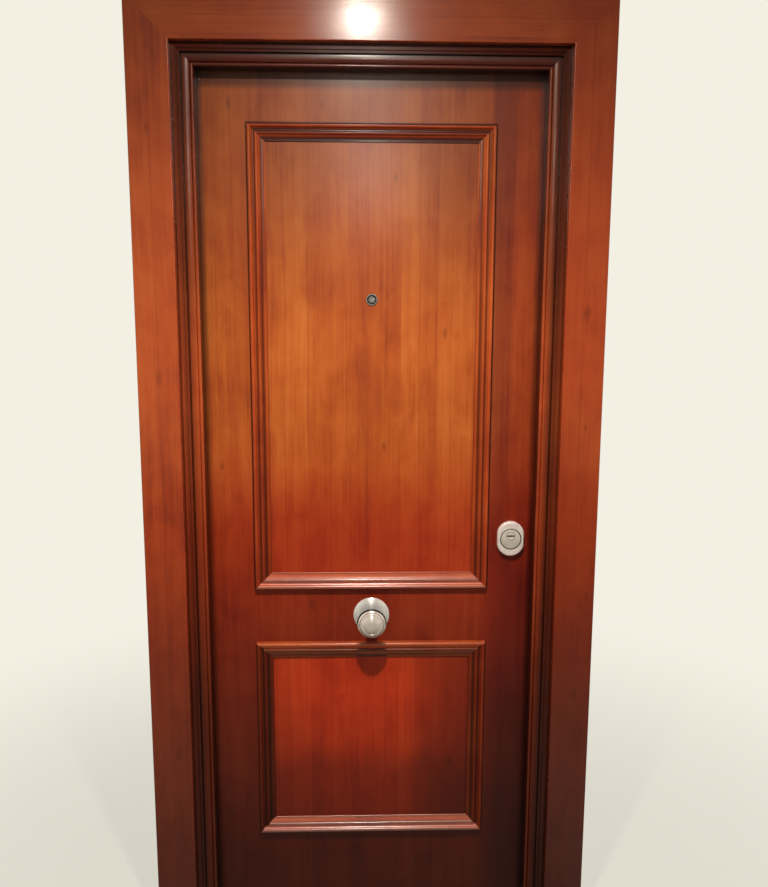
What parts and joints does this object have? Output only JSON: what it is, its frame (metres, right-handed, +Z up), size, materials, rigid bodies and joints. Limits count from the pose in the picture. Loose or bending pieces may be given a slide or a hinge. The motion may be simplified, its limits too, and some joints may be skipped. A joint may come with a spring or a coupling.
{
  "type": "panelled front door",
  "caption": "Panelled veneered front door leaf in a rebated and moulded frame with wide mitred architraves, pull knob, door viewer, mortise lock and hinges.",
  "frame": {"origin": "on the floor, on the doorway's centre line, at the middle of the leaf's thickness", "axes": "+Z up, +Y from the landing side (with the pull knob) to the inside, +X to the right seen from the landing"},
  "size_m": [1.089, 0.207, 2.247],
  "materials": {
    "leaf_veneer": "glossy lacquered red-brown veneer, vertical grain",
    "moulding_wood": "glossy lacquered red-brown solid moulding",
    "frame_wood": "glossy lacquered red-brown solid",
    "architrave_wood": "glossy lacquered red-brown veneer",
    "solid_wood": "lacquered red-brown solid strip",
    "core_board": "raw board",
    "seal_rubber": "dark brown, matt",
    "satin_nickel": "satin nickel",
    "plated_steel": "satin",
    "zinc_steel": "zinc plated",
    "hinge_metal": "satin nickel plate",
    "cylinder_metal": "nickel-plated brass",
    "lens_glass": "clear polished"
  },
  "bodies": {
    "frame": {"jamb_left": "frame_wood", "jamb_right": "frame_wood", "frame_head": "frame_wood", "architrave_left": "architrave_wood", "architrave_right": "architrave_wood", "architrave_head": "architrave_wood", "inner_architrave_left": "architrave_wood", "inner_architrave_right": "architrave_wood", "inner_architrave_head": "architrave_wood", "frame_seal": "seal_rubber", "strike_plate": "plated_steel", "frame_screws": "plated_steel", "hinge_bottom_frame": "hinge_metal", "hinge_middle_frame": "hinge_metal", "hinge_top_frame": "hinge_metal", "hinge_pins": "hinge_metal", "stop_left": "frame_wood", "stop_right": "frame_wood", "stop_head": "frame_wood"},
    "leaf": {"leaf_core": "core_board", "outer_board": "leaf_veneer", "inner_board": "leaf_veneer", "lipping_left": "solid_wood", "lipping_right": "solid_wood", "upper_moulding_top": "moulding_wood", "upper_moulding_bottom": "moulding_wood", "upper_moulding_left": "moulding_wood", "upper_moulding_right": "moulding_wood", "lower_moulding_top": "moulding_wood", "lower_moulding_bottom": "moulding_wood", "lower_moulding_left": "moulding_wood", "lower_moulding_right": "moulding_wood", "hinge_bottom_leaf": "hinge_metal", "hinge_middle_leaf": "hinge_metal", "hinge_top_leaf": "hinge_metal", "knob_rose": "satin_nickel", "pull_knob": "satin_nickel", "knob_bolt": "zinc_steel", "knob_cap": "satin_nickel", "viewer_barrel": "satin_nickel", "viewer_lens": "lens_glass", "viewer_eyepiece": "satin_nickel", "lock_case": "zinc_steel", "lock_faceplate": "plated_steel", "cylinder_body": "cylinder_metal", "outer_escutcheon": "satin_nickel", "escutcheon_disc": "satin_nickel", "inner_escutcheon": "satin_nickel", "inner_knob_rose": "satin_nickel", "leaf_screws": "plated_steel"},
    "cylinder_turn": {"cylinder_plug": "cylinder_metal", "key_rotor": "cylinder_metal", "thumbturn": "satin_nickel"},
    "deadbolt_set": {"bolt_plate": "zinc_steel", "deadbolts": "plated_steel"},
    "latch": {"latch_bolt": "plated_steel"},
    "knob_turn": {"inner_knob": "satin_nickel", "spindle": "zinc_steel", "lock_follower": "zinc_steel"},
    "cover": {"viewer_cover": "satin_nickel"}
  },
  "joints": [
    {"name": "leaf_swing", "type": "hinge", "parent": "frame", "child": "leaf", "pos_m": [-0.414, 0.03, 1.06], "axis": [0, 0, 1], "range_deg": [0, 105]},
    {"name": "key_turn", "type": "hinge", "parent": "leaf", "child": "cylinder_turn", "pos_m": [0.3475, 0, 1.0092], "axis": [0, 1, 0], "range_deg": [0, 360]},
    {"name": "deadbolt_throw", "type": "slide", "parent": "leaf", "child": "deadbolt_set", "axis": [1, 0, 0], "range_m": [0, 0.02]},
    {"name": "inner_knob_turn", "type": "hinge", "parent": "leaf", "child": "knob_turn", "pos_m": [0.3475, 0, 1.0942], "axis": [0, 1, 0], "range_deg": [0, 60]},
    {"name": "latch_slide", "type": "slide", "parent": "leaf", "child": "latch", "axis": [1, 0, 0], "range_m": [0, 0.0121]},
    {"name": "viewer_cover_swing", "type": "hinge", "parent": "leaf", "child": "cover", "pos_m": [0, 0.0255, 1.5995], "axis": [0, 1, 0], "range_deg": [-110, 110]}
  ],
  "couplings": [
    {"joint": "key_turn", "follows": "deadbolt_throw", "rad_per_m": 314.15},
    {"joint": "latch_slide", "follows": "inner_knob_turn", "m_per_rad": 0.011459}
  ]
}
